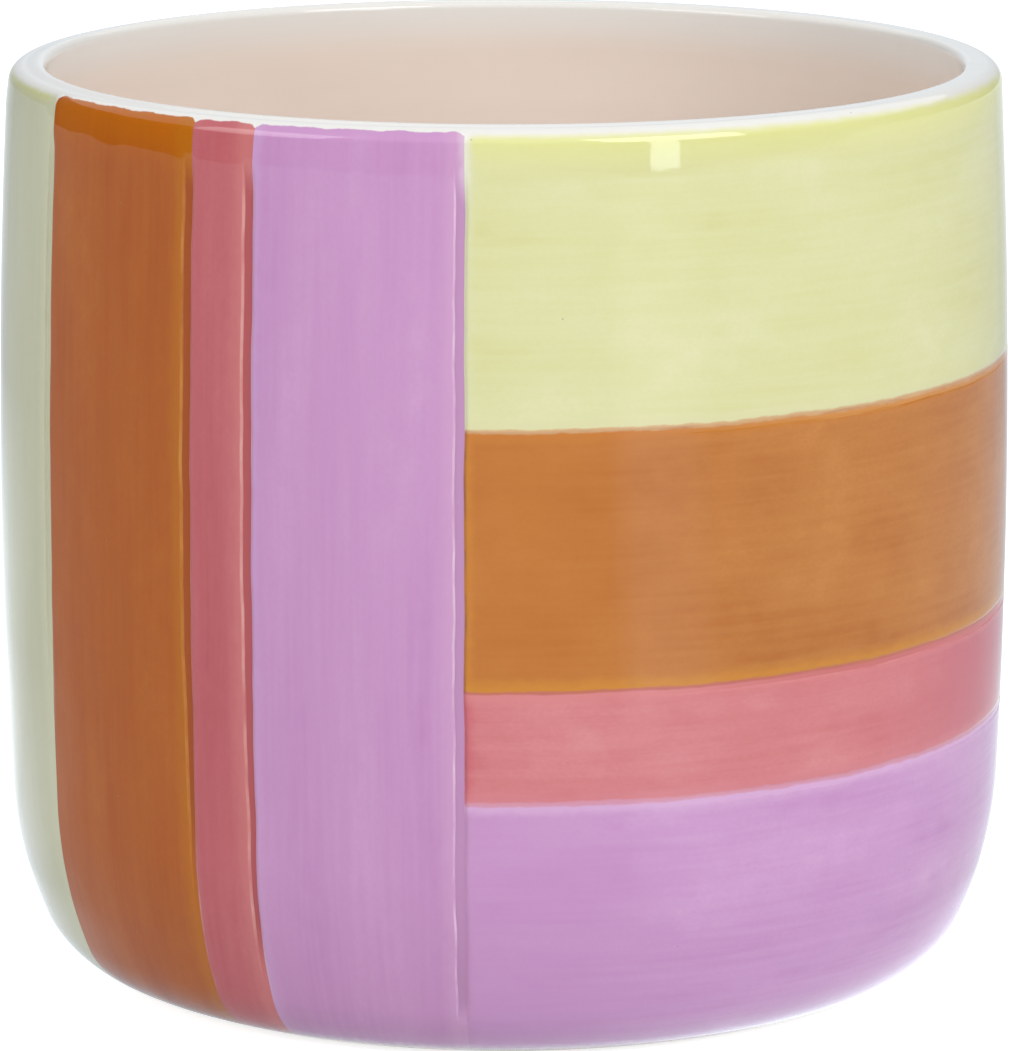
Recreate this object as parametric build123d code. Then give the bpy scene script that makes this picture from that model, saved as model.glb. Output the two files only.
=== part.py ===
from build123d import *
from math import asin, cos, degrees, radians, sin
import os

# A slip-cast cachepot with hand-painted stripes, glazed inside and out.
# Millimetres, +Z up, origin at the middle of the base on the ground.
# The front is -Y, where an upright block of stripes (-X side) meets a level block (+X side).

# Finished outline, measured over the glaze
POT_DIAMETER = 140.0
POT_HEIGHT = 126.0
WIDEST_HEIGHT = 67.0
WALL_BOW_RADIUS = 1000.0
BELLY_RADIUS = 58.0
HEEL_RADIUS = 13.0
HEEL_JOIN_ANGLE = 22.0
INNER_HEEL_RADIUS = 9.0

# Clay body
CLAY_WALL = 4.1
CLAY_FLOOR = 4.6
CLAY_LIP_OUTER_RADIUS = 1.8
CLAY_LIP_INNER_RADIUS = 0.5
FOOT_RING_WIDTH = 7.0
FOOT_ROUNDING = 0.4
RECESS_DEPTH = 1.2

# Glaze coats: the painted panels stand out by the relief, grooves part them,
# and a hair's breadth under each coat keeps it from cutting into the clay
GROOVE_GLAZE = 0.2
PANEL_RELIEF = 0.4
GROOVE_WIDTH = 1.2
SEAT_GAP = 0.05
RIM_GLAZE_DEPTH = 3.0
BARE_FOOT_HEIGHT = 0.5
PAINT_TOP_ANGLE = 55.0

# Stripe layout: upright stripes take angles, level stripes take heights,
# and the yellow ones fill what is left of their block
BLOCK_ANGLE = 90.0
LILAC_ANGLE = 24.0
PINK_ANGLE = 8.0
ORANGE_ANGLE = 24.7
LILAC_BAND = 37.5
PINK_BAND = 15.0
ORANGE_BAND = 34.5

# The front seam faces -Y, and each half turn brings the same two blocks again
BLOCK_SEAMS = {"front": -90.0, "back": 90.0}

# Derived sizes
glaze = GROOVE_GLAZE + PANEL_RELIEF
coat_depth = glaze - SEAT_GAP
wall = CLAY_WALL + 2 * glaze
lip_outer = CLAY_LIP_OUTER_RADIUS + glaze
lip_inner = CLAY_LIP_INNER_RADIUS + glaze
floor_top = RECESS_DEPTH + CLAY_FLOOR + 2 * glaze
groove_angle = degrees(2 * GROOVE_WIDTH / POT_DIAMETER)


def along(centre, length, angle):
    """The point at a distance from a centre, at an angle from level."""
    return (centre[0] + length * cos(radians(angle)), centre[1] + length * sin(radians(angle)))


# Tangent arcs of the outside, each centre placed on the normal where two arcs meet
bow_centre = (POT_DIAMETER / 2 - WALL_BOW_RADIUS, WIDEST_HEIGHT)
heel_join = sin(radians(HEEL_JOIN_ANGLE))
lower_rise = BELLY_RADIUS * heel_join + HEEL_RADIUS * (1 - heel_join)
belly_angle = -degrees(asin((WIDEST_HEIGHT - lower_rise) / (WALL_BOW_RADIUS - BELLY_RADIUS)))
belly_centre = along(bow_centre, WALL_BOW_RADIUS - BELLY_RADIUS, belly_angle)
heel_centre = along(belly_centre, BELLY_RADIUS - HEEL_RADIUS, -HEEL_JOIN_ANGLE)
paint_foot_angle = -degrees(asin(1 - BARE_FOOT_HEIGHT / HEEL_RADIUS))
recess_radius = heel_centre[0] - FOOT_RING_WIDTH

# Lip, rounded more on the outside than on the inside
lip_outer_reach = WALL_BOW_RADIUS - lip_outer
lip_outer_angle = degrees(asin((POT_HEIGHT - lip_outer - WIDEST_HEIGHT) / lip_outer_reach))
lip_outer_centre = along(bow_centre, lip_outer_reach, lip_outer_angle)
lip_inner_reach = WALL_BOW_RADIUS - wall + lip_inner
lip_inner_angle = degrees(asin((POT_HEIGHT - lip_inner - WIDEST_HEIGHT) / lip_inner_reach))
lip_inner_centre = along(bow_centre, lip_inner_reach, lip_inner_angle)
rim_glaze_angle = degrees(asin((POT_HEIGHT - RIM_GLAZE_DEPTH - WIDEST_HEIGHT) / (WALL_BOW_RADIUS - wall)))

# Inside, parallel to the wall and rounded into the floor
inner_heel_reach = BELLY_RADIUS - wall - INNER_HEEL_RADIUS
inner_heel_angle = -degrees(asin((belly_centre[1] - floor_top - INNER_HEEL_RADIUS) / inner_heel_reach))
inner_heel_centre = along(belly_centre, inner_heel_reach, inner_heel_angle)


def arc(centre, radius, start, end):
    return CenterArc(centre, radius, start, end - start)


# Lines of the outline, each at a depth below the finished surface


def outside(depth):
    """From the foot of the painted coat up the heel, belly and wall to the lip."""
    return [
        arc(heel_centre, HEEL_RADIUS - depth, paint_foot_angle, -HEEL_JOIN_ANGLE),
        arc(belly_centre, BELLY_RADIUS - depth, -HEEL_JOIN_ANGLE, belly_angle),
        arc(bow_centre, WALL_BOW_RADIUS - depth, belly_angle, lip_outer_angle),
    ]


def outer_lip(depth, start, end):
    """Part of the outer rounding of the lip."""
    return [arc(lip_outer_centre, lip_outer - depth, start, end)]


def inner_lip(depth):
    """The flat of the lip and its inner rounding."""
    crown = POT_HEIGHT - depth
    return [
        Line((lip_outer_centre[0], crown), (lip_inner_centre[0], crown)),
        arc(lip_inner_centre, lip_inner - depth, 90, 180 + lip_inner_angle),
    ]


def inner_wall(depth, start, end):
    """Part of the inside of the wall."""
    return [arc(bow_centre, WALL_BOW_RADIUS - wall + depth, start, end)]


def inner_base(depth):
    """From the wall round the inner heel to the middle of the floor."""
    level = floor_top - depth
    return [
        arc(belly_centre, BELLY_RADIUS - wall + depth, belly_angle, inner_heel_angle),
        arc(inner_heel_centre, INNER_HEEL_RADIUS + depth, inner_heel_angle, -90),
        Line((inner_heel_centre[0], level), (0, level)),
    ]


def coat_section(surface, seat):
    """The face between a finished line and the line by the clay that it is seated on."""
    ends = [Line(surface[0] @ 0, seat[0] @ 0), Line(surface[-1] @ 1, seat[-1] @ 1)]
    return make_face(surface + seat + ends)


def turned(section, start, sweep):
    """A section turned about the pot's axis, from a start angle through a sweep."""
    return Rot(Z=start) * revolve(Plane.XZ * section, Axis.Z, sweep)


def panel_line(depth):
    """The outside line that the painted coat covers."""
    return outside(depth) + outer_lip(depth, lip_outer_angle, PAINT_TOP_ANGLE)


def panel_section(depth):
    """The painted coat, from a depth below the finished surface to the clay."""
    return coat_section(panel_line(depth), panel_line(coat_depth))


def band_section(depth, low, high):
    """The part of the painted coat that lies between two heights."""
    window = Pos(POT_DIAMETER / 2, (low + high) / 2) * Rectangle(POT_DIAMETER, high - low)
    return panel_section(depth) & window


def clay_body():
    """Wall, floor and foot ring. Below the painted coat the clay comes flush with it."""
    recess_top = RECESS_DEPTH + glaze
    bare_heel = arc(heel_centre, HEEL_RADIUS, -90, paint_foot_angle)
    foot = Polyline(
        (0, floor_top - glaze),
        (0, recess_top),
        (recess_radius, recess_top),
        (recess_radius, 0),
        (heel_centre[0], 0),
    )
    painted = outside(glaze) + outer_lip(glaze, lip_outer_angle, 90)
    lined = inner_wall(glaze, lip_inner_angle, belly_angle) + inner_base(glaze)
    step = Line(bare_heel @ 1, painted[0] @ 0)
    body = turned(make_face([foot, bare_heel, step] + painted + inner_lip(glaze) + lined), 0, 360)
    ground_rings = body.edges().filter_by(GeomType.CIRCLE).group_by(Axis.Z)[0]
    return fillet(ground_rings.sort_by(SortBy.RADIUS)[0], FOOT_ROUNDING)


def rim_glaze():
    """White glaze over the lip, from the painted panels to a little way down inside."""

    def line(depth):
        mouth = inner_wall(depth, lip_inner_angle, rim_glaze_angle)
        return outer_lip(depth, PAINT_TOP_ANGLE, 90) + inner_lip(depth) + mouth

    return turned(coat_section(line(0), line(coat_depth)), 0, 360)


def liner_glaze():
    """Glaze on the inside wall and floor, up to the white glaze of the lip."""

    def line(depth):
        return inner_wall(depth, rim_glaze_angle, belly_angle) + inner_base(depth)

    return turned(coat_section(line(0), line(coat_depth)), 0, 360)


def base_glaze():
    """Glaze in the recess under the base."""
    return Pos(Z=RECESS_DEPTH) * extrude(Circle(recess_radius - SEAT_GAP), coat_depth)


def upright_stripe(start, sweep):
    """A stripe up the wall, with the groove along its right edge in its own colour."""
    panel = turned(panel_section(0), start, sweep - groove_angle)
    return panel + turned(panel_section(PANEL_RELIEF), start + sweep - groove_angle, groove_angle)


def level_stripe(start, low, high, top_groove):
    """A stripe round the wall, with the grooves along its top and right edges in its own colour."""
    sweep = BLOCK_ANGLE - groove_angle
    section = band_section(0, low, high - top_groove)
    if top_groove:
        section = section + band_section(PANEL_RELIEF, high - top_groove, high)
    side_groove = turned(band_section(PANEL_RELIEF, low, high), start + sweep, groove_angle)
    return turned(section, start, sweep) + side_groove


def upright_block(seam):
    """Four upright stripes that end at a seam, counted from the seam to the left."""
    sweeps = {"lilac": LILAC_ANGLE, "pink": PINK_ANGLE, "orange": ORANGE_ANGLE}
    sweeps["yellow"] = BLOCK_ANGLE - sum(sweeps.values())
    stripes = {}
    right = seam
    for colour, sweep in sweeps.items():
        stripes[colour] = upright_stripe(right - sweep, sweep)
        right = right - sweep
    return stripes


def level_block(seam):
    """Four level stripes that start at a seam, counted from the foot to the lip."""
    bands = {"lilac": LILAC_BAND, "pink": PINK_BAND, "orange": ORANGE_BAND}
    stripes = {}
    low = 0
    for colour, band in bands.items():
        stripes[colour] = level_stripe(seam, low, low + band, GROOVE_WIDTH)
        low = low + band
    stripes["yellow"] = level_stripe(seam, low, POT_HEIGHT, 0)
    return stripes


nodes = {
    "clay_body": clay_body(),
    "liner_glaze": liner_glaze(),
    "rim_glaze": rim_glaze(),
    "base_glaze": base_glaze(),
}
for side, seam in BLOCK_SEAMS.items():
    for colour, stripe in upright_block(seam).items():
        nodes[f"{side}_upright_{colour}"] = stripe
    for colour, stripe in level_block(seam).items():
        nodes[f"{side}_level_{colour}"] = stripe

os.makedirs("parts", exist_ok=True)
for name, shape in nodes.items():
    export_step(shape, f"parts/{name}.step")
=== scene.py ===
from math import asin, cos, degrees, hypot, pi, radians, sin

import bmesh
import bpy
import numpy as np
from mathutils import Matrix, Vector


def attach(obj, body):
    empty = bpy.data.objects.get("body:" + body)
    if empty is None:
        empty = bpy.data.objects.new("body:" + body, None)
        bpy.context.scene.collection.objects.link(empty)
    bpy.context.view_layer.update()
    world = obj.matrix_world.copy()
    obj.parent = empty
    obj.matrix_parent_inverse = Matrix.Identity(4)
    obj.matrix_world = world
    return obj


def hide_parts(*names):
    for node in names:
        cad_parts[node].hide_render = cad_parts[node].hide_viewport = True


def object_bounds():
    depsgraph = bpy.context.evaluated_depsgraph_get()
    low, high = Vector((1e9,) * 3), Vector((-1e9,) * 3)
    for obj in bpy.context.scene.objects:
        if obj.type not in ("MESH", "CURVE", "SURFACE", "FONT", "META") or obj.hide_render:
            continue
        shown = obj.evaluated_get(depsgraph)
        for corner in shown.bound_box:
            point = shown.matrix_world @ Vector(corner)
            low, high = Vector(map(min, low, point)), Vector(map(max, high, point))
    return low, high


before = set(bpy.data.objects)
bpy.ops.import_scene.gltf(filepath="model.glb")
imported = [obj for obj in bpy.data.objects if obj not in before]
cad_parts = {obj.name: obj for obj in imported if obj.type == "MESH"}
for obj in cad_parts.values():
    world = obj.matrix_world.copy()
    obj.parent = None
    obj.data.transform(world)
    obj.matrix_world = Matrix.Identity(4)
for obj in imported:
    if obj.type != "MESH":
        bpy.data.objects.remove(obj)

# A glazed cachepot with hand-painted stripes. Fine meshes stand for the coats of the solid model.
# Lengths are in millimetres, but for the stage, which is in metres. Angles are in degrees, +Z is up,
# and the front seam between an upright and a level block of stripes faces -Y.
MM = 0.001
cad_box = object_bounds()
pot_radius = cad_box[1].x / MM
pot_height = cad_box[1].z / MM

# Finished outline
WIDEST_HEIGHT = 67.0
WALL_BOW_RADIUS = 1000.0
BELLY_RADIUS = 58.0
HEEL_RADIUS = 13.0
HEEL_JOIN_ANGLE = 22.0
INNER_HEEL_RADIUS = 9.0
WALL = 5.3
FLOOR_TOP = 7.0
LIP_OUTER_RADIUS = 2.4
LIP_INNER_RADIUS = 1.1
BARE_FOOT_HEIGHT = 0.5
PAINT_TOP_ANGLE = 62.0
RIM_GLAZE_DEPTH = 3.0
COAT = 0.55

# Stripe layout: upright stripes take angles, level stripes take heights. The upright yellow one fills
# what is left of its block, and None stands for the foot or the lip.
BLOCK_SEAMS = {"front": -90.0, "back": 90.0}
BLOCK_ANGLE = 90.0
UPRIGHT_ANGLES = {"lilac": 24.0, "pink": 8.0, "orange": 24.7}
LEVEL_HEIGHTS = {
    "lilac": (None, 37.5),
    "pink": (37.5, 52.5),
    "orange": (52.5, 87.0),
    "yellow": (87.0, None),
}
LEFT_NEIGHBOURS = {
    "upright_lilac": "upright_pink",
    "upright_pink": "upright_orange",
    "upright_orange": "upright_yellow",
}

# Grooves at the right and top edges of the stripes. They vary in width, the upright ones narrow
# towards the foot and run out between two lengths above it, and the level ones are shallower and
# fade towards the left.
EDGES = ("left", "right", "low", "high")
RELIEF = 0.36
UPRIGHT_GROOVE = 1.2
LEVEL_GROOVE = 0.8
GROOVES = {"right": UPRIGHT_GROOVE, "high": LEVEL_GROOVE}
GROOVE_WALL = 0.3
GROOVE_WANDER = 0.04
GROOVE_WANDER_LENGTH = 9.0
GROOVE_END = (9.5, 13.5)
GROOVE_ENDS = {
    "upright_yellow": (40.0, 70.0),
    "upright_orange": (20.0, 42.0),
    "upright_pink": (13.0, 24.0),
}
GROOVE_TAPERS = {"upright_yellow": 0.6, "upright_orange": 0.7, "upright_pink": 0.5}
GROOVE_TAPER_REACH = (75.0, 20.0)
LEVEL_RELIEF_SHARE = 0.3
LEVEL_RELIEF_FADE = (20.0, 60.0)
RELIEF_FADE_HIGH = (5.0, 10.0)

# Other relief: panels sink a little towards their edges, the surface swells as a hand leaves it,
# and the lip is rounder on the left than on the right and dips towards the back
EDGE_RISE = 0.5
SLACK_SINK = 0.04
SLACK_WIDTH = 2.0
SWELL_SINK = 0.07
SWELL_LENGTH = 34.0
SWELL_CALM = 9.0
SWELL_SEEDS = (1, 2)
LIP_WEAR = 0.33
LIP_WEAR_SIDE = 200.0
LIP_WEAR_REACH = 6.5
RIM_DIP = 0.3
RIM_DIP_HEIGHTS = (96.0, 124.0)

# Hand-drawn lines: how far they wander, and over what length
SEAM_WANDER = 0.1
SEAM_WANDER_LENGTH = 24.0
LEVEL_WANDER = 0.1
LEVEL_WANDER_LENGTH = 26.0
PAINT_EDGE_DROP = 0.22
PAINT_EDGE_WANDERS = {"lilac": 0.24, "pink": 0.22, "orange": 0.2, "yellow": 0.08}
PAINT_EDGE_LENGTH = 7.0
CORNER_DROP = 0.75
CORNER_WIDTH = 0.55
WANDER_SHARES = (1.0, 0.57, 0.31)

# Mesh spacing: places counted from the edges of a stripe, and steps between them
EDGE_STEPS = (0.0, 0.08, 0.16, 0.24, 0.32, 0.5, 0.8, 1.3, 2.0)
UPRIGHT_GROOVE_STEPS = (
    0.0, 0.15, 0.3, 0.4, 0.5, 0.6, 0.7, 0.8, 0.9, 1.0, 1.08, 1.16,
    1.24, 1.32, 1.4, 1.48, 1.56, 1.7, 2.0, 2.6, 3.4,
)
LEVEL_GROOVE_STEPS = (0.0, 0.2, 0.45, 0.68, 0.78, 0.86, 0.94, 1.02, 1.1, 1.2, 1.4, 1.8, 2.4, 3.2)
RIM_STEPS = (
    0.0, 0.06, 0.14, 0.24, 0.36, 0.5, 0.66, 0.84, 1.05, 1.3,
    1.55, 1.8, 2.05, 2.3, 2.55, 2.8, 3.2, 3.8, 4.5, 5.3,
)
FINE_STEP = 0.7
COARSE_STEP = 1.6
RIM_STEP = 0.09
LINER_STEP = 1.5
SEAT_EVERY = 8
RING_COLUMNS = 360
WALL_SAMPLES = 4000
FAR = 99.0
MERGE_GAP = 0.001
SHARP_ANGLE = 50.0

# Glazes and clay: colours, sizes of their clouds and grain, roughness and depth of the unevenness
GLAZE_IOR = 1.46
WHITE_GLAZE = (0.84, 0.83, 0.80)
WHITE_CLOUD = (0.78, 0.755, 0.735)
WHITE_CLOUD_SIZE = 9.0
WHITE_ROUGHNESS = (0.06, 0.1)
WHITE_DEPTH = 0.05
BLUSH = (0.85, 0.74, 0.66)
BLUSH_RING = (0.82, 0.71, 0.63)
BLUSH_CLOUD = (0.87, 0.77, 0.70)
BLUSH_CLOUD_SHARE = 0.5
BLUSH_BAND = (-2.4, 5.0)
BLUSH_RAGGED = 0.4
LINING_ROUGHNESS = (0.06, 0.11)
LINING_DEPTH = 0.04
CLAY = (0.72, 0.67, 0.60)
CLAY_PATCH = (0.64, 0.58, 0.51)
CLAY_PATCH_SIZE = 12.0
CLAY_GRAIN = (0.5, 0.44, 0.38)
CLAY_GRAIN_SIZE = 0.4
CLAY_GRAIN_DETAIL = 6.0
CLAY_GRAIN_SHARE = 0.3
CLAY_ROUGHNESS = (0.75, 0.95)
CLAY_DEPTH = 0.05
CLAY_BUMP_SHARE = 0.6
CLAY_DARK = (0.30, 0.22, 0.16)
NOISE_RANGE = (0.3, 0.7)
NOISE_DETAIL = 3.0

# Colours of each paint. Body, light and deep are the brushed colour, left, right, low and high the bands
# along its edges, groove the groove, which in most upright stripes is darker partly from pooled glaze and
# partly as painted shade of the recess, and crest the bright edge beside it, partly thin paint and partly a
# painted highlight. Line is a thin line along its seams, whose dark ones are painted shadow where the surface
# steps and whose pale ones are paint. Top is the band below the lip and the seams are the mixed colours where
# level stripes meet, each with its reach. Near and end are the colours towards the left and right end, and
# foot where the paint is thin. Strokes are the size of a brush mark across and along, fringe the edge and the
# share of white that shows there near the lip, fade how softly the paint ends at the lip, worn the reach and
# share of white at the foot, which is partly paint worn to the white glaze and partly a painted reflection of
# the floor, and waves the height of its ripples.
PAINTS = {
    "upright_lilac": {
        "body": (0.570, 0.292, 0.548),
        "light": (0.625, 0.348, 0.600),
        "deep": (0.520, 0.246, 0.497),
        "left": (0.590, 0.352, 0.610),
        "right": (0.620, 0.348, 0.580),
        "groove": (0.525, 0.280, 0.500),
        "crest_paint_and_highlight": (0.880, 0.700, 0.860),
        "line": (0.660, 0.440, 0.560),
        "top": ((0.575, 0.295, 0.565), 2.0),
        "strokes": (7.0, 60.0),
        "fringe": ("right", 0.3),
        "worn": (5.0, 0.75),
        "waves": 5.0,
    },
    "upright_pink": {
        "body": (0.520, 0.120, 0.140),
        "light": (0.575, 0.163, 0.178),
        "deep": (0.468, 0.090, 0.110),
        "left": (0.535, 0.150, 0.168),
        "right": (0.620, 0.200, 0.197),
        "groove": (0.470, 0.100, 0.108),
        "crest_paint_and_highlight": (0.760, 0.420, 0.370),
        "line": (0.660, 0.330, 0.260),
        "top": ((0.520, 0.110, 0.130), 2.0),
        "strokes": (4.0, 40.0),
        "worn": (5.0, 0.6),
        "waves": 10.0,
    },
    "upright_orange": {
        "body": (0.430, 0.100, 0.008),
        "light": (0.485, 0.140, 0.014),
        "deep": (0.378, 0.073, 0.005),
        "left": (0.432, 0.102, 0.008),
        "right": (0.500, 0.160, 0.006),
        "groove": (0.400, 0.083, 0.008),
        "crest_paint_and_highlight": (0.660, 0.300, 0.060),
        "line": (0.370, 0.092, 0.014),
        "top": ((0.540, 0.145, 0.001), 9.0),
        "strokes": (7.0, 30.0),
        "worn": (4.0, 0.5),
        "waves": 20.0,
    },
    "upright_yellow": {
        "body": (0.572, 0.578, 0.405),
        "light": (0.617, 0.625, 0.453),
        "deep": (0.532, 0.540, 0.360),
        "left": (0.620, 0.630, 0.470),
        "right": (0.630, 0.640, 0.450),
        "groove": (0.570, 0.580, 0.400),
        "crest_paint_and_highlight": (0.720, 0.730, 0.560),
        "line": (0.610, 0.620, 0.440),
        "top": ((0.660, 0.675, 0.270), 3.0),
        "foot": (0.800, 0.810, 0.740),
        "strokes": (9.0, 40.0),
        "fade": 1.1,
        "worn": (5.0, 0.85),
    },
    "level_lilac": {
        "body": (0.600, 0.314, 0.598),
        "light": (0.690, 0.420, 0.680),
        "deep": (0.515, 0.236, 0.512),
        "left": (0.560, 0.300, 0.545),
        "right": (0.597, 0.312, 0.595),
        "high": (0.700, 0.440, 0.690),
        "groove": (0.700, 0.420, 0.680),
        "crest_paint_and_highlight": (0.760, 0.500, 0.750),
        "line": (0.620, 0.320, 0.520),
        "high_seam": ((0.670, 0.300, 0.400), 0.5),
        "near": (0.565, 0.290, 0.560),
        "strokes": (9.0, 30.0),
        "worn": (5.0, 0.7),
    },
    "level_pink": {
        "body": (0.657, 0.209, 0.223),
        "light": (0.715, 0.280, 0.290),
        "deep": (0.583, 0.145, 0.164),
        "left": (0.600, 0.130, 0.163),
        "right": (0.657, 0.209, 0.223),
        "low": (0.670, 0.225, 0.260),
        "high": (0.690, 0.235, 0.240),
        "groove": (0.600, 0.170, 0.170),
        "crest_paint_and_highlight": (0.770, 0.340, 0.340),
        "line": (0.470, 0.120, 0.150),
        "low_seam": ((0.670, 0.300, 0.400), 0.5),
        "high_seam": ((0.550, 0.170, 0.100), 0.34),
        "end": (0.585, 0.140, 0.180),
        "strokes": (6.0, 15.0),
    },
    "level_orange": {
        "body": (0.505, 0.182, 0.036),
        "light": (0.590, 0.246, 0.060),
        "deep": (0.428, 0.127, 0.016),
        "left": (0.620, 0.245, 0.030),
        "right": (0.505, 0.186, 0.038),
        "low": (0.635, 0.265, 0.030),
        "high": (0.570, 0.200, 0.030),
        "groove": (0.630, 0.270, 0.070),
        "crest_paint_and_highlight": (0.720, 0.380, 0.140),
        "line": (0.300, 0.120, 0.060),
        "low_seam": ((0.550, 0.170, 0.100), 0.34),
        "high_seam": ((0.660, 0.400, 0.200), 0.45),
        "near": (0.530, 0.165, 0.018),
        "strokes": (9.0, 13.0),
    },
    "level_yellow": {
        "body": (0.700, 0.698, 0.362),
        "light": (0.752, 0.758, 0.468),
        "deep": (0.650, 0.642, 0.270),
        "left": (0.700, 0.715, 0.450),
        "right": (0.700, 0.698, 0.362),
        "low": (0.720, 0.700, 0.410),
        "groove": (0.690, 0.685, 0.360),
        "crest_paint_and_highlight": (0.760, 0.765, 0.550),
        "line": (0.690, 0.700, 0.500),
        "low_seam": ((0.660, 0.400, 0.200), 0.45),
        "top": ((0.760, 0.765, 0.300), 7.0),
        "strokes": (11.0, 26.0),
        "fringe": ("left", 0.5),
        "fade": 1.5,
    },
}
PAINT_FADE = 0.2
PAINT_ROUGHNESS = (0.025, 0.05)

# Noises of the brushwork: sizes across the strokes, along them and between stripes, how far each one
# moves the colour, and its height in the surface
STRIPE_STEP = 5.0
STREAKS = (0.9, 24.0, STRIPE_STEP)
MOTTLE = (3.0, 4.2, STRIPE_STEP)
GRAIN = (0.4, 0.7, STRIPE_STEP)
RAGGED = (1.2, 2.4, STRIPE_STEP)
BROKEN = (4.0, 7.0, STRIPE_STEP)
WAVES = (5.0, 5.0, STRIPE_STEP)
RINGS = (60.0, 5.0, STRIPE_STEP)
CLOUDS = (22.0, 14.0, STRIPE_STEP)
STROKE_DETAIL = 4.0
MOTTLE_DETAIL = 5.0
WAVE_DETAIL = 0.0
FULL_SHARES = (0.0, 1.0)
MOTTLE_SHARES = (0.05, 0.85)
STREAK_SHARES = (0.0, 0.4)
GRAIN_SHARES = (0.0, 0.2)
STREAK_BUMP_SHARE = 0.3
MOTTLE_BUMP_SHARE = 2.0
RAGGED_REACH = 0.25
BRUSH_DEPTH = 0.005

# Distances from the edges of a stripe between which a band or line comes in, and their strengths
EDGE_BANDS = {"left": (1.8, 0.1), "right": (4.2, 1.2), "low": (2.4, 0.3), "high": (2.2, 0.4)}
BAND_SHARE = 0.75
GROOVE_EDGE = 0.1
CREST_OUT = (0.34, 0.18)
CREST_IN = (-0.04, 0.08)
CREST_SHARES = {"right": 0.8, "high": 0.5}
LINE_BAND = (0.4, 0.2)
LINE_SHARES = {"left": 0.8, "high": 0.4}
FRINGE_BAND = (1.3, 0.0)
TOP_EDGE = 0.3
THIN_BAND = (55.0, 12.0)
THIN_ACROSS = (40.0, 14.0)
NEAR_BAND = (45.0, 8.0)
NEAR_SHARE = 0.6
END_BAND = (60.0, 15.0)
SEAM_CORE_SHARE = 0.2
LIP_RAGGED_SHARE = 0.35
WORN_AND_REFLECTION_CORE_SHARE = 0.1
WORN_AND_REFLECTION_RAGGED_SHARE = 0.6

# Glaze faults: pale specks and dark pinholes, each with its spacing, radius and the share that is kept
SPECKS = (33.0, 0.32, 0.06)
PINHOLES = (21.0, 0.17, 0.3)
PINHOLE_SHARE = 0.45
SPECK_CORE_SHARE = 0.5

# Stage, in metres
WHITE = (1.0, 1.0, 1.0, 1.0)
BLACK = (0.0, 0.0, 0.0, 1.0)
WORLD_FILL = 0.45
FLOOR_RADIUS = 1.45
FLOOR_SEGMENTS = 96
FLOOR_DROP = 0.00005
FLOOR_LIFT = 0.8
FLOOR_TONES = ((0.70, 0.70, 0.70), (0.72, 0.72, 0.72))
FLOOR_CLOUD = 0.2
FLOOR_ROUGHNESS = 0.8
LAMP_DISTANCE = 1.6
LAMP_SIZE = 0.9
LAMPS = {
    "key": {"azimuth": 40.0, "elevation": 30.0, "power": 14.1, "shows": True},
    "fill": {"azimuth": -60.0, "elevation": 28.0, "power": 8.1, "shows": True},
    "back": {"azimuth": 175.0, "elevation": 35.0, "power": 6.0, "shows": False},
}
CAMERA_AZIMUTH = 4.25
CAMERA_REACH = 0.89896
CAMERA_HEIGHT = 0.24834
CAMERA_TILT = 0.20642
CAMERA_YAW = 0.00017
CAMERA_ROLL = -0.001
CAMERA_LENS = 225.25
CAMERA_SENSOR = 36.0
CAMERA_CLIP = 0.05

# Glowing cards that show only in gloss, as painted reflections: of the darker surround, of the floor with its
# shade, of a pool of light on it and of a softbox. Azimuths run from behind the pot over the left, the front
# and the right, as the camera sees them. Each row has a reach and a height, with its levels of brightness
# along the azimuths.
CARD_TINT = (0.86, 0.93, 1.0, 1.0)
CARD_COLUMNS = 121
ALL_ROUND = (-180.0, 180.0)
SCREEN_LEVELS = (1.0, 0.3, 0.1, 0.1, 0.1, 0.1, 0.1, 0.1, 0.1, 0.1, 0.1, 0.3, 1.0)
SOFTBOX_REFLECTION_LEVELS = (5.5, 5.5)
CARDS = {
    "screen": {
        "azimuths": ALL_ROUND,
        "rows": ((1.55, 0.06), (1.55, 0.9)),
        "levels": (SCREEN_LEVELS, SCREEN_LEVELS),
    },
    "floor_reflection": {
        "azimuths": ALL_ROUND,
        "rows": ((0.05, 0.001), (0.062, 0.0015), (0.08, 0.0022), (0.2, 0.007), (0.4, 0.015), (1.5, 0.06)),
        "levels": (
            (2.4, 2.6, 2.4, 1.2, 0.7, 0.8, 1.2, 1.9, 1.9, 1.8, 1.8, 2.0, 2.2),
            (2.4, 2.6, 2.4, 1.2, 0.7, 0.8, 1.2, 1.9, 1.9, 1.8, 1.8, 2.0, 2.2),
            (2.8, 3.0, 1.2, 0.65, 0.7, 0.75, 0.75, 0.8, 0.85, 0.9, 1.1, 1.6, 2.0),
            (2.0, 1.5, 0.6, 0.60, 0.65, 0.75, 0.75, 0.75, 0.8, 0.75, 0.75, 0.85, 1.8),
            (1.4, 0.6, 0.48, 0.58, 0.65, 0.75, 0.75, 0.75, 0.8, 0.7, 0.6, 0.6, 1.4),
            (1.2, 0.3, 0.48, 0.64, 0.65, 0.75, 0.75, 0.75, 0.8, 0.8, 0.9, 0.9, 1.2),
        ),
    },
    "light_pool_reflection": {
        "azimuths": (21.0, 44.0),
        "rows": ((0.085, 0.0035), (0.13, 0.0055), (1.5, 0.062)),
        "levels": ((0.8, 0.8, 0.8, 0.82, 0.82), (0.75, 1.5, 1.5, 1.3, 0.8), (0.75, 1.5, 1.5, 1.3, 0.8)),
    },
    "softbox_reflection": {
        "azimuths": (31.8, 38.4),
        "rows": ((1.2, 0.085), (1.2, 0.5)),
        "levels": (SOFTBOX_REFLECTION_LEVELS, SOFTBOX_REFLECTION_LEVELS),
    },
}


# Outline


def along(centre, length, angle):
    """The point at a distance from a centre, at an angle from level."""
    return (centre[0] + length * cos(radians(angle)), centre[1] + length * sin(radians(angle)))


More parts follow.
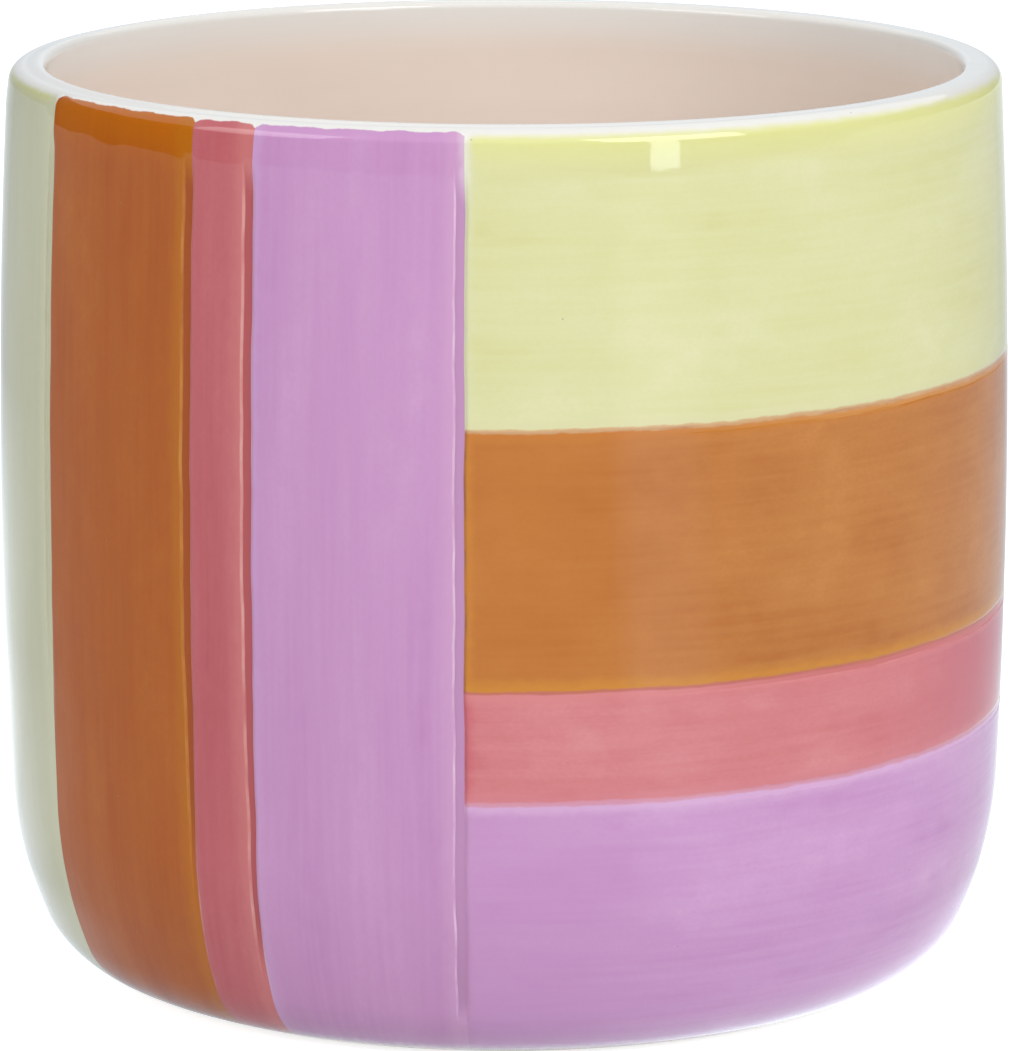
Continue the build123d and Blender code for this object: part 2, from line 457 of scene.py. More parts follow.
# Centres of the tangent arcs of the outline
bow_centre = (pot_radius - WALL_BOW_RADIUS, WIDEST_HEIGHT)
heel_join = sin(radians(HEEL_JOIN_ANGLE))
lower_rise = BELLY_RADIUS * heel_join + HEEL_RADIUS * (1 - heel_join)
belly_angle = -degrees(asin((WIDEST_HEIGHT - lower_rise) / (WALL_BOW_RADIUS - BELLY_RADIUS)))
belly_centre = along(bow_centre, WALL_BOW_RADIUS - BELLY_RADIUS, belly_angle)
heel_centre = along(belly_centre, BELLY_RADIUS - HEEL_RADIUS, -HEEL_JOIN_ANGLE)
paint_foot_angle = -degrees(asin(1 - BARE_FOOT_HEIGHT / HEEL_RADIUS))
lip_outer_reach = WALL_BOW_RADIUS - LIP_OUTER_RADIUS
lip_outer_angle = degrees(asin((pot_height - LIP_OUTER_RADIUS - WIDEST_HEIGHT) / lip_outer_reach))
lip_outer_centre = along(bow_centre, lip_outer_reach, lip_outer_angle)
inner_bow = WALL_BOW_RADIUS - WALL
lip_inner_reach = inner_bow + LIP_INNER_RADIUS
lip_inner_angle = degrees(asin((pot_height - LIP_INNER_RADIUS - WIDEST_HEIGHT) / lip_inner_reach))
lip_inner_centre = along(bow_centre, lip_inner_reach, lip_inner_angle)
rim_glaze_angle = degrees(asin((pot_height - RIM_GLAZE_DEPTH - WIDEST_HEIGHT) / inner_bow))
inner_heel_reach = BELLY_RADIUS - WALL - INNER_HEEL_RADIUS
inner_heel_angle = -degrees(asin((belly_centre[1] - FLOOR_TOP - INNER_HEEL_RADIUS) / inner_heel_reach))
inner_heel_centre = along(belly_centre, inner_heel_reach, inner_heel_angle)


def arc(centre, radius, start, end, side=1):
    """A run of the outline round a centre. Side -1 has its surface on the hollow side."""

    def at(share):
        angle = np.radians(start + (end - start) * share)
        out, up = np.cos(angle), np.sin(angle)
        return np.stack([centre[0] + radius * out, centre[1] + radius * up, side * out, side * up])

    return radius * abs(radians(end - start)), at


def level(start, end):
    """A level run of the outline that faces up."""

    def at(share):
        flat = np.zeros_like(share)
        return np.stack([start[0] + (end[0] - start[0]) * share, start[1] + flat, flat, flat + 1])

    return hypot(end[0] - start[0], end[1] - start[1]), at


# Runs of the finished outline, from the foot of the paint over the lip to the middle of the floor
runs = {
    "heel": arc(heel_centre, HEEL_RADIUS, paint_foot_angle, -HEEL_JOIN_ANGLE),
    "belly": arc(belly_centre, BELLY_RADIUS, -HEEL_JOIN_ANGLE, belly_angle),
    "wall": arc(bow_centre, WALL_BOW_RADIUS, belly_angle, lip_outer_angle),
    "painted_lip": arc(lip_outer_centre, LIP_OUTER_RADIUS, lip_outer_angle, PAINT_TOP_ANGLE),
    "outer_lip": arc(lip_outer_centre, LIP_OUTER_RADIUS, PAINT_TOP_ANGLE, 90),
    "crown": level((lip_outer_centre[0], pot_height), (lip_inner_centre[0], pot_height)),
    "inner_lip": arc(lip_inner_centre, LIP_INNER_RADIUS, 90, 180 + lip_inner_angle),
    "mouth": arc(bow_centre, inner_bow, lip_inner_angle, rim_glaze_angle, -1),
    "inner_wall": arc(bow_centre, inner_bow, rim_glaze_angle, belly_angle, -1),
    "inner_belly": arc(belly_centre, BELLY_RADIUS - WALL, belly_angle, inner_heel_angle, -1),
    "inner_heel": arc(inner_heel_centre, INNER_HEEL_RADIUS, inner_heel_angle, -90, -1),
    "floor": level((inner_heel_centre[0], FLOOR_TOP), (0, FLOOR_TOP)),
}
run_starts = dict(zip(runs, np.cumsum([0] + [run[0] for run in runs.values()])))
outline_length = sum(run[0] for run in runs.values())
paint_top = run_starts["outer_lip"]
rim_end = run_starts["inner_wall"]


def outline(length):
    """Radius, height and the outward direction at lengths along the outline."""
    found = np.zeros((4,) + length.shape)
    for name, (run, at) in runs.items():
        share = np.clip((length - run_starts[name]) / run, 0, 1)
        found = np.where(length >= run_starts[name], at(share), found)
    return found


wall_lengths = np.linspace(0, paint_top, WALL_SAMPLES)
wall_heights = outline(wall_lengths)[1]


def length_at(height):
    """How far along the outline the outside reaches a height."""
    return float(np.interp(height, wall_heights, wall_lengths))


# Surface


def smooth(value, low, high):
    """A soft step from 0 at low to 1 at high."""
    share = np.clip((value - low) / (high - low), 0, 1)
    return share * share * (3 - 2 * share)


def wander(place, seed, length):
    """An aimless line between -1 and 1: waves of a few lengths that never fall in step."""
    waves = [np.sin(2 * pi * place / (length * share) + seed * (1 + share)) for share in WANDER_SHARES]
    return sum(wave * share for wave, share in zip(waves, WANDER_SHARES)) / sum(WANDER_SHARES)


def surface(azimuth, length, sink):
    """Points sunk below the finished outline, whose lip dips towards the back."""
    radius, height, out, up = outline(length)
    dip = RIM_DIP * (1 + np.sin(azimuth)) / 2 * smooth(height, *RIM_DIP_HEIGHTS)
    radius = radius - sink * out
    height = height - sink * up - dip
    return np.stack([radius * np.cos(azimuth), radius * np.sin(azimuth), height], -1) * MM


def unevenness(azimuth, length):
    """How far the hand-made surface lies below the true outline: a slow swell, and the lip's wear."""
    round_seed, up_seed = SWELL_SEEDS
    round_wave = wander(azimuth * pot_radius, round_seed, pot_radius * pi / 4)
    up_wave = wander(length + pot_radius / 4 * np.sin(2 * azimuth), up_seed, SWELL_LENGTH)
    swell = SWELL_SINK * (2 + round_wave + up_wave) / 4
    calm = smooth(np.maximum(paint_top - length, length - rim_end), 0, SWELL_CALM)
    worn = smooth(length, paint_top - LIP_WEAR_REACH, paint_top)
    worn = worn * smooth(length, run_starts["inner_lip"], run_starts["crown"])
    return swell * calm + LIP_WEAR * worn * (1 + np.cos(azimuth - radians(LIP_WEAR_SIDE))) / 2


def seam(angle, length):
    """The azimuth of a hand-cut upright seam, at lengths along the outline."""
    return radians(angle) + SEAM_WANDER * wander(length, angle, SEAM_WANDER_LENGTH) / pot_radius


def level_seam(height, azimuth):
    """The outline length of a hand-cut level seam, at azimuths."""
    return length_at(height) + LEVEL_WANDER * wander(azimuth * pot_radius, height, LEVEL_WANDER_LENGTH)


def groove_end(paint):
    """The lengths along the outline between which the groove at a stripe's right edge runs out."""
    return GROOVE_ENDS.get(paint, GROOVE_END)


def groove_edge(distance, groove, place, seed):
    """Distances from a seam, stretched or squeezed so that the groove beside it varies in width."""
    return distance + GROOVE_WANDER * wander(place, seed, GROOVE_WANDER_LENGTH) * smooth(distance, 0, groove)


def relief(paint, edges, length):
    """How far a stripe's surface sinks into the grooves at its edges."""
    below_lip = smooth(paint_top - length, *RELIEF_FADE_HIGH)
    own = below_lip * smooth(length, *groove_end(paint))
    beside = below_lip * smooth(length, *groove_end(LEFT_NEIGHBOURS.get(paint)))
    level_share = LEVEL_RELIEF_SHARE * smooth(edges["left"], *LEVEL_RELIEF_FADE)
    kept = np.ones_like(length)
    for edge, share in (("right", own), ("high", level_share)):
        kept = kept * (1 - share * smooth(edges[edge], GROOVES[edge] + GROOVE_WALL, GROOVES[edge]))
    for edge, share in (("left", beside), ("low", level_share)):
        kept = kept * (1 - share * smooth(edges[edge], EDGE_RISE, 0))
    slack = sum(np.exp(-edges[edge] / SLACK_WIDTH) for edge in EDGES)
    return RELIEF * (1 - kept) + SLACK_SINK * np.minimum(slack, 1) * below_lip * smooth(length, *GROOVE_END)


def paint_line(colour, arc_length, seed, side):
    """How far below the top of the coat the paint ends. It drops at the corners, side being the distance
    from the nearer one."""
    corner = CORNER_DROP * np.exp(-(side / CORNER_WIDTH) ** 2)
    return PAINT_EDGE_DROP + PAINT_EDGE_WANDERS[colour] * wander(arc_length, seed, PAINT_EDGE_LENGTH) + corner


# Meshes


def graded(total, first, last, step):
    """Places along a line: given steps from its two ends, and even steps between."""
    count = max(1, round((total - first[-1] - last[-1]) / step))
    between = np.linspace(first[-1], total - last[-1], count + 1)[1:-1]
    return np.concatenate([first, between, total - np.array(last[::-1])])


def seated(azimuth, length, sink, marks):
    """Loops of points along the surface and, with fewer points, back along the seat of a coat, and their
    marks."""
    columns = length.shape[1]
    kept = np.unique(np.append(np.arange(0, columns, SEAT_EVERY), columns - 1))[::-1]
    seat = surface(azimuth, length, COAT)[:, kept]
    loops = np.concatenate([surface(azimuth, length, sink), seat], 1)
    return loops, {name: np.concatenate([values, values[:, kept]], 1) for name, values in marks.items()}


def loop_faces(count, points, closed):
    """Faces between loops that follow one another, closed on the first loop again or by flat caps."""
    index = np.arange(count * points).reshape(count, points)
    ahead = np.roll(index, -1, 0) if closed else index[1:]
    behind = index if closed else index[:-1]
    quads = np.stack([behind, np.roll(behind, -1, 1), np.roll(ahead, -1, 1), ahead], -1)
    caps = [] if closed else [index[0].tolist(), index[-1].tolist()]
    return quads.reshape(-1, 4).tolist() + caps


def clean(mesh):
    """Joins the points that meet, turns all faces outwards and shades the rounded ones smooth."""
    build = bmesh.new()
    build.from_mesh(mesh)
    bmesh.ops.remove_doubles(build, verts=build.verts, dist=MERGE_GAP * MM)
    bmesh.ops.recalc_face_normals(build, faces=build.faces)
    build.to_mesh(mesh)
    build.free()
    mesh.shade_smooth()
    mesh.set_sharp_from_angle(angle=radians(SHARP_ANGLE))


def make_piece(node, loops, marks, material, closed):
    """A mesh that stands for a node, from loops of points. Marks are the values that its material reads."""
    mesh = bpy.data.meshes.new(node + "_coat")
    mesh.from_pydata(loops.reshape(-1, 3), [], loop_faces(*loops.shape[:2], closed))
    for name, values in marks.items():
        if values.ndim == 3:
            mesh.attributes.new(name, "FLOAT_VECTOR", "POINT").data.foreach_set("vector", values.ravel())
        else:
            mesh.attributes.new(name, "FLOAT", "POINT").data.foreach_set("value", values.ravel())
    clean(mesh)
    mesh.materials.append(material)
    piece = bpy.data.objects.new(node + "_coat", mesh)
    bpy.context.collection.objects.link(piece)
    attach(piece, "root")
    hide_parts(node)


def stripe_grid(left, right, low, high, upright):
    """Azimuths and outline lengths of a grid over a stripe, and how far away its points are from the
    stripe's edges. The grid is finer along the long edges."""
    width = radians(right - left) * pot_radius
    low_length = 0.0 if low is None else length_at(low)
    high_length = paint_top if high is None else length_at(high)
    tall = high_length - low_length
    high_steps = RIM_STEPS if high is None else LEVEL_GROOVE_STEPS
    across = graded(width, EDGE_STEPS, UPRIGHT_GROOVE_STEPS, COARSE_STEP if upright else FINE_STEP)
    upward = graded(tall, EDGE_STEPS, high_steps, FINE_STEP if upright else COARSE_STEP)
    x, y = np.meshgrid(across, upward)
    left_line, right_line = seam(left, low_length + y), seam(right, low_length + y)
    azimuth = left_line + (right_line - left_line) * x / width
    low_line = 0.0 if low is None else level_seam(low, azimuth)
    high_line = paint_top if high is None else level_seam(high, azimuth)
    length = low_line + (high_line - low_line) * y / tall
    return azimuth, length, {"left": x, "right": width - x, "low": y, "high": tall - y}


def stripe(node, colour, left, right, low, high, upright):
    """A painted stripe between two seams and two level edges. None stands for the foot or the lip."""
    paint = ("upright_" if upright else "level_") + colour
    azimuth, length, away = stripe_grid(left, right, low, high, upright)
    arc_length = azimuth * pot_radius
    nowhere = np.full_like(length, FAR)
    taper = GROOVE_TAPERS.get(paint, 0.0) * smooth(length, *GROOVE_TAPER_REACH)
    edges = {
        "left": away["left"],
        "right": groove_edge(away["right"], UPRIGHT_GROOVE, length, left) + taper,
        "low": nowhere if low is None else away["low"],
        "high": nowhere if high is None else groove_edge(away["high"], LEVEL_GROOVE, arc_length, high),
    }
    paint_end = paint_top - paint_line(colour, arc_length, left, np.minimum(away["left"], away["right"]))
    stroke = (arc_length, length) if upright else (length, arc_length)
    marks = dict(edges)
    marks["rim"] = paint_end - length if high is None else nowhere
    marks["foot"] = length if low is None else nowhere
    marks["brush"] = np.stack([*stroke, np.full_like(length, left + length_at(low or 0))], -1)
    sink = relief(paint, edges, length) + unevenness(azimuth, length)
    loops, marks = seated(azimuth, length, sink, marks)
    make_piece(node, loops, marks, paint_materials[paint], closed=False)


def ring(node, start, end, step, material):
    """A coat all round the pot, between two lengths along the outline."""
    azimuths = np.linspace(0, 2 * pi, RING_COLUMNS, endpoint=False)
    lengths = np.linspace(start, end, round((end - start) / step))
    azimuth, length = np.meshgrid(azimuths, lengths, indexing="ij")
    brush = np.stack([azimuth * pot_radius, length, np.zeros_like(length)], -1)
    marks = {"brush": brush, "below": length - rim_end}
    loops, marks = seated(azimuth, length, unevenness(azimuth, length), marks)
    make_piece(node, loops, marks, material, closed=True)


# Materials


def cube(side):
    """The same size in each direction."""
    return (side, side, side)


class Nodes:
    """Short ways to add and join the nodes of one material."""

    def __init__(self, name):
        self.material = bpy.data.materials.new(name)
        self.material.use_nodes = True
        self.tree = self.material.node_tree
        self.shader = self.tree.nodes["Principled BSDF"]

    def put(self, socket, value):
        """Links another socket to a socket, or sets its value."""
        if isinstance(value, bpy.types.NodeSocket):
            self.tree.links.new(value, socket)
        else:
            socket.default_value = value

    def add(self, kind, settings=None, **inputs):
        """A new node, with its settings and inputs."""
        node = self.tree.nodes.new(kind)
        for name, value in (settings or {}).items():
            setattr(node, name, value)
        for name, value in inputs.items():
            self.put(node.inputs[name.replace("_", " ")], value)
        return node

    def mark(self, name, output="Fac"):
        """A value that the mesh carries."""
        return self.add("ShaderNodeAttribute", {"attribute_name": name}).outputs[output]

    def place(self):
        """The place on the object, in metres."""
        return self.add("ShaderNodeTexCoord").outputs["Object"]

    def math(self, operation, first, second):
        """A sum, product or comparison of two values."""
        node = self.add("ShaderNodeMath", {"operation": operation})
        self.put(node.inputs[0], first)
        self.put(node.inputs[1], second)
        return node.outputs[0]

    def share(self, first, *others):
        """The product of a few shares."""
        for other in others:
            first = self.math("MULTIPLY", first, other)
        return first

    def step(self, value, low, high):
        """A soft step from 0 at low to 1 at high, also where low is the greater."""
        ends = {"From_Min": min(low, high), "From_Max": max(low, high)}
        if low > high:
            ends.update({"To_Min": 1.0, "To_Max": 0.0})
        settings = {"interpolation_type": "SMOOTHSTEP"}
        return self.add("ShaderNodeMapRange", settings, Value=value, **ends).outputs[0]

    def spread(self, value, low, high):
        """Noise around a half, stretched to fill a range."""
        ends = {"From_Min": NOISE_RANGE[0], "From_Max": NOISE_RANGE[1], "To_Min": low, "To_Max": high}
        return self.add("ShaderNodeMapRange", None, Value=value, **ends).outputs[0]

    def scaled(self, place, size):
        """A place counted in grains of the given size in each direction."""
        node = self.add("ShaderNodeVectorMath", {"operation": "DIVIDE"})
        self.put(node.inputs[0], place)
        self.put(node.inputs[1], size)
        return node.outputs[0]

    def noise(self, place, size, detail=NOISE_DETAIL):
        """Noise whose grain has the given size in each direction."""
        vector = self.scaled(place, size)
        return self.add("ShaderNodeTexNoise", None, Vector=vector, Scale=1.0, Detail=detail).outputs["Fac"]

    def specks(self, place, apart, radius, share):
        """Small round spots, about one in each cell, of which a share is kept."""
        vector = self.scaled(place, cube(apart))
        cells = self.add("ShaderNodeTexVoronoi", {"voronoi_dimensions": "2D"}, Vector=vector, Scale=1.0)
        edge = radius / apart
        spot = self.step(cells.outputs["Distance"], edge, edge * SPECK_CORE_SHARE)
        chance = self.add("ShaderNodeSeparateColor", None, Color=cells.outputs["Color"]).outputs[0]
        return self.share(spot, self.math("LESS_THAN", chance, share))

    def mix(self, share, first, second):
        """A share of the second colour in the first."""
        node = self.add("ShaderNodeMix", {"data_type": "RGBA"})
        self.put(node.inputs[0], share)
        for socket, value in ((node.inputs[6], first), (node.inputs[7], second)):
            self.put(socket, value if isinstance(value, bpy.types.NodeSocket) else (*value, 1))
        return node.outputs[2]

    def finish(self, colour, roughness, bump, depth, strength=1.0):
        """Joins a colour, a roughness and an uneven surface to the shader."""
        self.put(self.shader.inputs["Base Color"], colour)
        self.put(self.shader.inputs["Roughness"], roughness)
        uneven = self.add("ShaderNodeBump", None, Strength=strength, Distance=depth * MM, Height=bump)
        self.put(self.shader.inputs["Normal"], uneven.outputs["Normal"])
        return self.material

    def glossy(self, colour, roughness, bump, depth):
        """Fired glaze: clear gloss over the colour, with a slightly uneven surface."""
        self.shader.inputs["IOR"].default_value = GLAZE_IOR
        return self.finish(colour, roughness, bump, depth)


class Paint(Nodes):
    """Brushed paint under a clear glaze, in layers that are laid over one another."""

    def __init__(self, paint, tones):
        super().__init__(paint + "_paint")
        self.tones = tones
        self.brush = self.mark("brush", "Vector")
        self.ragged = self.spread(self.noise(self.brush, RAGGED), -RAGGED_REACH, RAGGED_REACH)
        self.broken = self.spread(self.noise(self.brush, BROKEN), *FULL_SHARES)
        self.rim = self.mark("rim")
        self.foot = self.mark("foot")
        self.below_lip = self.step(self.rim, *RELIEF_FADE_HIGH)
        self.carved = {
            "right": self.share(self.below_lip, self.step(self.foot, *groove_end(paint))),
            "high": self.step(self.mark("left"), *LEVEL_RELIEF_FADE),
        }

    def lay(self, share, colour):
        """Lays a share of a colour over the layers so far."""
        self.tint = self.mix(share, self.tint, colour)

    def ragged_place(self, place, share=1.0):
        """A distance whose steps come out ragged."""
        return self.math("ADD", place, self.share(share, self.ragged))

    def lay_brushwork(self):
        """The uneven colour and surface that brush strokes leave."""
        strokes = self.noise(self.brush, (*self.tones["strokes"], STRIPE_STEP), STROKE_DETAIL)
        streaks = self.noise(self.brush, STREAKS)
        mottle = self.noise(self.brush, MOTTLE, MOTTLE_DETAIL)
        self.tint = self.mix(self.spread(strokes, *FULL_SHARES), self.tones["deep"], self.tones["light"])
        self.lay(self.spread(mottle, *MOTTLE_SHARES), self.tones["body"])
        self.lay(self.spread(streaks, *STREAK_SHARES), self.tones["light"])
        self.lay(self.spread(self.noise(self.brush, GRAIN), *GRAIN_SHARES), self.tones["deep"])
        self.roughness = self.spread(mottle, *PAINT_ROUGHNESS)
        heights = [self.share(STREAK_BUMP_SHARE, streaks), self.share(MOTTLE_BUMP_SHARE, mottle)]
        if "waves" in self.tones:
            heights.append(self.share(self.tones["waves"], self.noise(self.brush, WAVES, WAVE_DETAIL)))
        self.bump = strokes
        for height in heights:
            self.bump = self.math("ADD", self.bump, height)

    def lay_bands(self):
        """Thin paint towards the foot or the left end, the band below the lip, and bands along the edges."""
        left = self.mark("left")
        if "foot" in self.tones:
            thin = self.share(self.step(self.foot, *THIN_BAND), self.step(left, *THIN_ACROSS))
            self.lay(thin, self.tones["foot"])
        if "near" in self.tones:
            self.lay(self.share(NEAR_SHARE, self.step(left, *NEAR_BAND)), self.tones["near"])
        if "end" in self.tones:
            self.lay(self.step(self.mark("right"), *END_BAND), self.tones["end"])
        if "top" in self.tones:
            shade, reach = self.tones["top"]
            self.lay(self.share(BAND_SHARE, self.step(self.rim, reach, TOP_EDGE)), shade)
        for edge in EDGES:
            band = self.step(self.ragged_place(self.mark(edge)), *EDGE_BANDS[edge])
            self.lay(self.share(BAND_SHARE, band), self.tones.get(edge, self.tones["body"]))

    def lay_grooves(self):
        """The grooves, darker partly as painted shade, with a broken crest beside them, bright partly as a
        painted highlight.
        """
        for edge, groove in GROOVES.items():
            place = self.mark(edge)
            carved = self.carved[edge]
            inside = self.step(place, groove + GROOVE_EDGE, groove - GROOVE_EDGE)
            # In most upright stripes the groove colour is darker: partly pooled glaze, partly painted shade
            # of the recess.
            self.lay(self.share(inside, carved), self.tones["groove"])
            # The crest colour is partly thin paint on the raised edge and partly a painted highlight.
            crest_paint_and_highlight = [self.step(place, groove + start, groove + end) for start, end in (CREST_OUT, CREST_IN)]
            self.lay(self.share(CREST_SHARES[edge], *crest_paint_and_highlight, carved, self.broken), self.tones["crest_paint_and_highlight"])

    def lay_seams(self):
        """The mixed colour where level stripes meet, and thin broken lines along the seams, the dark ones
        painted shadow.
        """
        for edge in ("low", "high"):
            if edge + "_seam" in self.tones:
                blend, reach = self.tones[edge + "_seam"]
                place = self.ragged_place(self.mark(edge), reach)
                self.lay(self.step(place, reach, reach * SEAM_CORE_SHARE), blend)
        above_foot = self.step(self.foot, *GROOVE_END)
        # The dark lines of some paints are painted shadow where the surface steps; the pale ones are paint.
        for edge, share in LINE_SHARES.items():
            line = self.step(self.mark(edge), *LINE_BAND)
            self.lay(self.share(share, line, self.below_lip, above_foot, self.broken), self.tones["line"])

    def lay_ends(self):
        """White glaze beside an edge near the lip and above the paint, and at the foot, partly worn and
        partly a painted reflection.
        """
        if "fringe" in self.tones:
            edge, share = self.tones["fringe"]
            fringe = self.step(self.ragged_place(self.mark(edge)), *FRINGE_BAND)
            near_lip = self.step(self.rim, *reversed(RELIEF_FADE_HIGH))
            self.lay(self.share(share, fringe, near_lip), WHITE_GLAZE)
        if "top" in self.tones:
            rim = self.ragged_place(self.rim, LIP_RAGGED_SHARE)
            self.lay(self.step(rim, self.tones.get("fade", PAINT_FADE), -GROOVE_EDGE), WHITE_GLAZE)
        # White at the foot: partly paint worn to the glaze, partly a painted reflection of the floor.
        if "worn" in self.tones:
            reach, share = self.tones["worn"]
            foot = self.ragged_place(self.foot, WORN_AND_REFLECTION_RAGGED_SHARE * reach)
            self.lay(self.share(share, self.step(foot, reach, reach * WORN_AND_REFLECTION_CORE_SHARE)), WHITE_GLAZE)

    def lay_faults(self):
        """Dark pinholes and pale specks."""
        self.lay(self.share(PINHOLE_SHARE, self.specks(self.brush, *PINHOLES)), CLAY_DARK)
        self.lay(self.specks(self.brush, *SPECKS), WHITE_GLAZE)


def paint_material(paint, tones):
    """The paint of one kind of stripe."""
    n = Paint(paint, tones)
    n.lay_brushwork()
    n.lay_bands()
    n.lay_grooves()
    n.lay_seams()
    n.lay_ends()
    n.lay_faults()
    return n.glossy(n.tint, n.roughness, n.bump, BRUSH_DEPTH)


def lining_material(name):
    """Blush glaze in faint rings and clouds inside the pot, which the white glaze of the lip runs into."""
    n = Nodes(name)
    brush = n.mark("brush", "Vector")
    rings = n.noise(brush, RINGS)
    cloud = n.noise(brush, CLOUDS)
    blush = n.mix(n.spread(rings, *FULL_SHARES), BLUSH, BLUSH_RING)
    blush = n.mix(n.spread(cloud, 0.0, BLUSH_CLOUD_SHARE), blush, BLUSH_CLOUD)
    below = n.math("ADD", n.mark("below"), n.spread(cloud, -BLUSH_RAGGED, BLUSH_RAGGED))
    tint = n.mix(n.step(below, *BLUSH_BAND), WHITE_GLAZE, blush)
    return n.glossy(tint, n.spread(cloud, *LINING_ROUGHNESS), rings, LINING_DEPTH)


def white_material():
    """White glaze under the base, faintly clouded."""
    n = Nodes("white_glaze")
    cloud = n.noise(n.place(), cube(WHITE_CLOUD_SIZE * MM))
    tint = n.mix(n.spread(cloud, *FULL_SHARES), WHITE_GLAZE, WHITE_CLOUD)
    return n.glossy(tint, n.spread(cloud, *WHITE_ROUGHNESS), cloud, WHITE_DEPTH)


def clay_material():
    """Unglazed clay of the foot ring: matt, fine and slightly speckled."""
    n = Nodes("bare_clay")
    place = n.place()
    grain = n.noise(place, cube(CLAY_GRAIN_SIZE * MM), CLAY_GRAIN_DETAIL)
    patch = n.noise(place, cube(CLAY_PATCH_SIZE * MM))
    tint = n.mix(n.spread(patch, *FULL_SHARES), CLAY, CLAY_PATCH)
    tint = n.mix(n.spread(grain, 0.0, CLAY_GRAIN_SHARE), tint, CLAY_GRAIN)
    return n.finish(tint, n.spread(grain, *CLAY_ROUGHNESS), grain, CLAY_DEPTH, CLAY_BUMP_SHARE)


paint_materials = {paint: paint_material(paint, tones) for paint, tones in PAINTS.items()}


# Pot


def dress(node, material):
    """Gives a solid that stays as it is its material."""
    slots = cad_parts[node].data.materials
    for number in range(len(slots)):
        slots[number] = material


def make_block_pair(side, front):
    """The upright stripes to the left of a seam and the level stripes to the right of it."""
    sweeps = dict(UPRIGHT_ANGLES)
    sweeps["yellow"] = BLOCK_ANGLE - sum(sweeps.values())
    right = front
    for colour, sweep in sweeps.items():
        stripe(f"{side}_upright_{colour}", colour, right - sweep, right, None, None, upright=True)
        right = right - sweep
    for colour, (low, high) in LEVEL_HEIGHTS.items():
        stripe(f"{side}_level_{colour}", colour, front, front + BLOCK_ANGLE, low, high, upright=False)


dress("clay_body", clay_material())
dress("base_glaze", white_material())
for side, front in BLOCK_SEAMS.items():
    make_block_pair(side, front)
ring("rim_glaze", paint_top, rim_end, RIM_STEP, lining_material("lip_glaze"))
ring("liner_glaze", rim_end, outline_length, LINER_STEP, lining_material("blush_glaze"))


# Stage


def light_path_share(tree):
    """1 for rays from the camera, from gloss or through glass, and 0 for the light that falls on things."""
    path = tree.nodes.new("ShaderNodeLightPath")
    seen = path.outputs["Is Camera Ray"]
    for name in ("Is Glossy Ray", "Is Transmission Ray"):
        larger = tree.nodes.new("ShaderNodeMath")
        larger.operation = "MAXIMUM"
        tree.links.new(seen, larger.inputs[0])
        tree.links.new(path.outputs[name], larger.inputs[1])
        seen = larger.outputs[0]
    return seen


def make_floor():
    """A round pale floor that looks white where nothing shades it."""
    mesh = bpy.data.meshes.new("floor")
    build = bmesh.new()
    bmesh.ops.create_circle(build, cap_ends=True, segments=FLOOR_SEGMENTS, radius=FLOOR_RADIUS)
    build.to_mesh(mesh)
    build.free()
    n = Nodes("floor")
    n.put(n.shader.inputs["Base Color"], n.mix(n.noise(n.place(), cube(FLOOR_CLOUD)), *FLOOR_TONES))
    n.shader.inputs["Roughness"].default_value = FLOOR_ROUGHNESS
    n.shader.inputs["Specular IOR Level"].default_value = 0.0
    n.shader.inputs["Emission Color"].default_value = WHITE
    n.put(n.shader.inputs["Emission Strength"], n.share(light_path_share(n.tree), FLOOR_LIFT))
    mesh.materials.append(n.material)
    floor = bpy.data.objects.new("floor", mesh)
    floor.location.z = -FLOOR_DROP
    bpy.context.collection.objects.link(floor)


def card_material(name):
    """A black card that glows by the level that each point carries."""
    n = Nodes(name)
    n.shader.inputs["Base Color"].default_value = BLACK
    n.shader.inputs["Specular IOR Level"].default_value = 0.0
    n.shader.inputs["Emission Color"].default_value = CARD_TINT
    n.put(n.shader.inputs["Emission Strength"], n.mark("glow"))
    return n.material


def make_card(name, azimuths, rows, levels):
    """A curved card that glows and only shows in gloss, as a painted reflection."""
    start, end = azimuths
    shares = np.linspace(0, 1, CARD_COLUMNS)
    angles = np.radians(CAMERA_AZIMUTH - 90 + start + (end - start) * shares)
    points = [(reach * cos(angle), reach * sin(angle), height) for reach, height in rows for angle in angles]
    index = np.arange(len(points)).reshape(len(rows), CARD_COLUMNS)
    faces = np.stack([index[:-1, :-1], index[:-1, 1:], index[1:, 1:], index[1:, :-1]], -1)
    glow = np.concatenate([np.interp(shares, np.linspace(0, 1, len(row)), row) for row in levels])
    mesh = bpy.data.meshes.new(name)
    mesh.from_pydata(points, [], faces.reshape(-1, 4).tolist())
    mesh.attributes.new("glow", "FLOAT", "POINT").data.foreach_set("value", glow)
    mesh.materials.append(card_material(name))
    card = bpy.data.objects.new(name, mesh)
    for ray in ("camera", "diffuse", "shadow", "transmission", "volume_scatter"):
        setattr(card, "visible_" + ray, False)
    bpy.context.collection.objects.link(card)


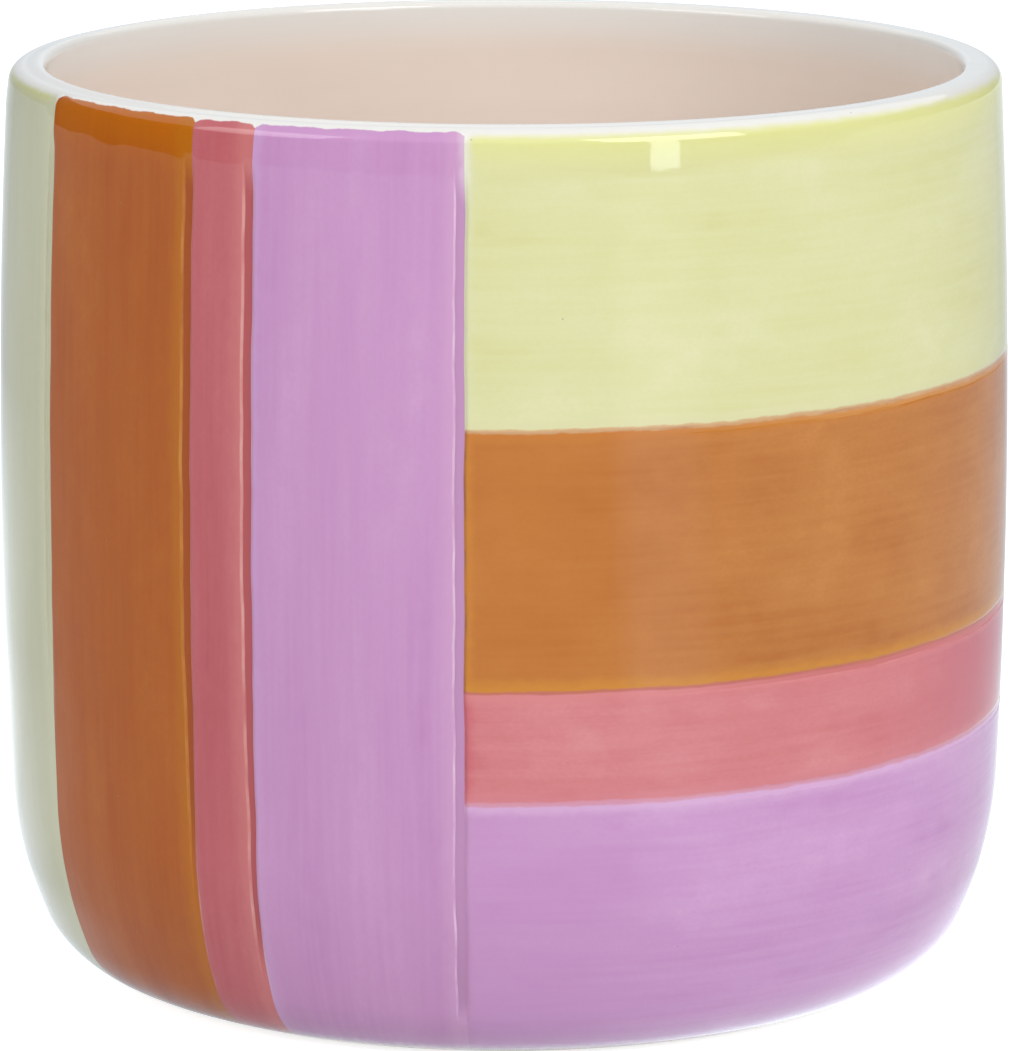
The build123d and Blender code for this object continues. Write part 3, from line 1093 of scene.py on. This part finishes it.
def make_world():
    """A white world that lights the pot less than it looks."""
    world = bpy.data.worlds.new("studio")
    bpy.context.scene.world = world
    world.use_nodes = True
    tree = world.node_tree
    background = tree.nodes["Background"]
    background.inputs["Color"].default_value = WHITE
    strength = tree.nodes.new("ShaderNodeMapRange")
    strength.inputs["To Min"].default_value = WORLD_FILL
    strength.inputs["To Max"].default_value = 1.0
    tree.links.new(light_path_share(tree), strength.inputs["Value"])
    tree.links.new(strength.outputs[0], background.inputs["Strength"])


def make_lamp(name, azimuth, elevation, power, shows):
    """A square lamp that faces the pot, at an azimuth to the right of the camera. It may show in gloss."""
    lamp = bpy.data.lights.new(name, "AREA")
    lamp.shape = "RECTANGLE"
    lamp.size, lamp.size_y = LAMP_SIZE, LAMP_SIZE
    lamp.energy = power
    holder = bpy.data.objects.new(name, lamp)
    turn = radians(CAMERA_AZIMUTH + azimuth)
    reach = LAMP_DISTANCE * cos(radians(elevation))
    height = LAMP_DISTANCE * sin(radians(elevation)) + pot_height * MM / 2
    holder.location = (reach * sin(turn), -reach * cos(turn), height)
    holder.rotation_euler = (pi / 2 - radians(elevation), 0, turn)
    holder.visible_glossy = shows
    bpy.context.collection.objects.link(holder)


def make_camera():
    """A camera that sees the pot from where the photo was taken."""
    camera = bpy.data.cameras.new("camera")
    camera.sensor_fit = "VERTICAL"
    camera.sensor_height = CAMERA_SENSOR
    camera.lens = CAMERA_LENS
    camera.clip_start = CAMERA_CLIP
    holder = bpy.data.objects.new("camera", camera)
    turn = radians(CAMERA_AZIMUTH)
    holder.location = (CAMERA_REACH * sin(turn), -CAMERA_REACH * cos(turn), CAMERA_HEIGHT)
    holder.rotation_euler = (pi / 2 - CAMERA_TILT, CAMERA_ROLL, turn - CAMERA_YAW)
    bpy.context.collection.objects.link(holder)
    bpy.context.scene.camera = holder


make_floor()
make_world()
for name, card in CARDS.items():
    make_card(name, **card)
for name, lamp in LAMPS.items():
    make_lamp(name, **lamp)
make_camera()
bpy.context.scene.view_settings.view_transform = "Standard"
